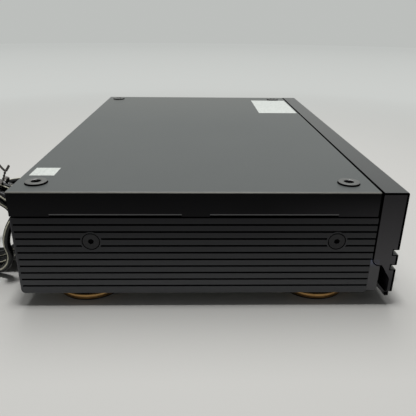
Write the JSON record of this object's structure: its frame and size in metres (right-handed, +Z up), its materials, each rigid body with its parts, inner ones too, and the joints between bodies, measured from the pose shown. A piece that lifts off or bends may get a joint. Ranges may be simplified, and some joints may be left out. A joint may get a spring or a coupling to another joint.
{
  "type": "compact disc player",
  "caption": "Full-width hi-fi disc player: folded cover, ribbed side panels, grooved front with loading tray, round feet with gold rings, tied mains lead.",
  "frame": {"origin": "on the floor plane, below the middle of the player without its lead", "axes": "+X across the width to the player's right side seen from the rear, front faces -Y, +Z up"},
  "size_m": [0.43, 0.406, 0.0976],
  "materials": {
    "satin_black_steel": "satin black paint on folded steel",
    "black_front_plastic": "fine grained black moulding",
    "ribbed_black_plastic": "semi-matt black ribbed moulding",
    "inner_black_plastic": "matt black moulding",
    "black_screw": "black plated screw",
    "zinc_steel": "zinc plated sheet",
    "gold_ring": "gold anodised ring",
    "foot_plastic": "matt black moulding",
    "smoked_window": "smoked clear window",
    "white_gear": "natural white gear plastic",
    "black_rubber": "belt rubber",
    "motor_steel": "bright steel",
    "grey_mechanism": "dark grey moulding",
    "board_green": "green circuit board",
    "core_steel": "varnished laminations",
    "tube_glass": "display tube glass",
    "black_lead": "flexible black lead covering"
  },
  "bodies": {
    "chassis": {"base_pan": "zinc_steel", "clamp_bridge": "zinc_steel", "cord_coil": "black_lead", "display_tube": "tube_glass", "display_window": "smoked_window", "foot_front_left": "foot_plastic", "foot_front_right": "foot_plastic", "foot_rear_left": "foot_plastic", "foot_rear_right": "foot_plastic", "foot_ring_front_left": "gold_ring", "foot_ring_front_right": "gold_ring", "foot_ring_rear_left": "gold_ring", "foot_ring_rear_right": "gold_ring", "front_frame": "inner_black_plastic", "front_panel": "black_front_plastic", "line_out_jacks": "inner_black_plastic", "loader_frame": "inner_black_plastic", "loading_belt": "black_rubber", "loading_motor": "motor_steel", "main_board": "board_green", "mains_plug": "black_lead", "optical_jack": "inner_black_plastic", "phones_jack": "inner_black_plastic", "power_cord": "black_lead", "power_transformer": "core_steel", "rear_panel": "satin_black_steel", "side_panel_left": "ribbed_black_plastic", "side_panel_right": "ribbed_black_plastic", "side_screw_front_left": "black_screw", "side_screw_front_right": "black_screw", "side_screw_rear_left": "black_screw", "side_screw_rear_right": "black_screw", "strain_relief": "black_lead", "top_cover": "satin_black_steel", "top_screw_front_left": "black_screw", "top_screw_front_right": "black_screw", "top_screw_rear_left": "black_screw", "top_screw_rear_right": "black_screw", "twist_tie": "black_lead"},
    "tray": {"disc_tray": "inner_black_plastic", "tray_door": "black_front_plastic"},
    "loading_gear_body": {"loading_gear": "white_gear"},
    "pulley_gear_body": {"pulley_gear": "white_gear"},
    "motor_pulley_body": {"motor_pulley": "white_gear"},
    "deck": {"mech_deck": "grey_mechanism", "guide_rod": "motor_steel", "spindle_motor": "motor_steel", "sled_motor": "motor_steel"},
    "turntable_body": {"turntable": "grey_mechanism"},
    "clamp_body": {"disc_clamp": "inner_black_plastic"},
    "sled": {"pickup_sled": "grey_mechanism"},
    "sled_gear_body": {"sled_gear": "white_gear"},
    "knob_body": {"level_knob": "black_front_plastic"},
    "power_key": {"power_button": "black_front_plastic"},
    "open_key": {"open_button": "black_front_plastic"},
    "skip_back_key": {"skip_back_button": "black_front_plastic"},
    "skip_forward_key": {"skip_forward_button": "black_front_plastic"},
    "stop_key": {"stop_button": "black_front_plastic"},
    "play_key": {"play_button": "black_front_plastic"}
  },
  "joints": [
    {"name": "tray_slide", "type": "slide", "parent": "chassis", "child": "tray", "axis": [0, -1, 0], "range_m": [0, 0.134]},
    {"name": "loading_gear_turn", "type": "hinge", "parent": "chassis", "child": "loading_gear_body", "pos_m": [-0.0455, -0.109, 0.0602], "axis": [0, 0, 1], "range_deg": [0, 550]},
    {"name": "pulley_gear_turn", "type": "hinge", "parent": "chassis", "child": "pulley_gear_body", "pos_m": [-0.02647, -0.10013, 0.057], "axis": [0, 0, 1], "range_deg": [-1100, 0]},
    {"name": "motor_pulley_turn", "type": "hinge", "parent": "chassis", "child": "motor_pulley_body", "pos_m": [0.00953, -0.1055, 0.057], "axis": [0, 0, 1], "range_deg": [-3295, 0]},
    {"name": "deck_tilt", "type": "hinge", "parent": "chassis", "child": "deck", "pos_m": [0, 0.008, 0.053], "axis": [1, 0, 0], "range_deg": [0, 4]},
    {"name": "turntable_spin", "type": "hinge", "parent": "deck", "child": "turntable_body", "pos_m": [0, -0.072, 0.067], "axis": [0, 0, 1], "continuous": true},
    {"name": "clamp_spin", "type": "hinge", "parent": "chassis", "child": "clamp_body", "pos_m": [0, -0.072, 0.077], "axis": [0, 0, 1], "continuous": true},
    {"name": "sled_slide", "type": "slide", "parent": "deck", "child": "sled", "axis": [0, 1, 0], "range_m": [0, 0.034]},
    {"name": "sled_gear_turn", "type": "hinge", "parent": "deck", "child": "sled_gear_body", "pos_m": [0.032, -0.026, 0.0554], "axis": [0, 0, 1], "range_deg": [-245, 0]},
    {"name": "power_press", "type": "slide", "parent": "chassis", "child": "power_key", "axis": [0, 1, 0], "range_m": [0, 0.0012], "stiffness_N_per_m": 300},
    {"name": "open_press", "type": "slide", "parent": "chassis", "child": "open_key", "axis": [0, 1, 0], "range_m": [0, 0.0012], "stiffness_N_per_m": 300},
    {"name": "skip_back_press", "type": "slide", "parent": "chassis", "child": "skip_back_key", "axis": [0, 1, 0], "range_m": [0, 0.0012], "stiffness_N_per_m": 300},
    {"name": "skip_forward_press", "type": "slide", "parent": "chassis", "child": "skip_forward_key", "axis": [0, 1, 0], "range_m": [0, 0.0012], "stiffness_N_per_m": 300},
    {"name": "stop_press", "type": "slide", "parent": "chassis", "child": "stop_key", "axis": [0, 1, 0], "range_m": [0, 0.0012], "stiffness_N_per_m": 300},
    {"name": "play_press", "type": "slide", "parent": "chassis", "child": "play_key", "axis": [0, 1, 0], "range_m": [0, 0.0012], "stiffness_N_per_m": 300},
    {"name": "level_turn", "type": "hinge", "parent": "chassis", "child": "knob_body", "pos_m": [-0.172, -0.144, 0.0625], "axis": [0, 1, 0], "range_deg": [-140, 140]}
  ],
  "couplings": [
    {"joint": "loading_gear_turn", "follows": "tray_slide", "rad_per_m": 71.429},
    {"joint": "pulley_gear_turn", "follows": "tray_slide", "rad_per_m": -142.86},
    {"joint": "motor_pulley_turn", "follows": "tray_slide", "rad_per_m": -428.57},
    {"joint": "clamp_spin", "follows": "turntable_spin", "ratio": 1},
    {"joint": "sled_gear_turn", "follows": "sled_slide", "rad_per_m": -125}
  ]
}
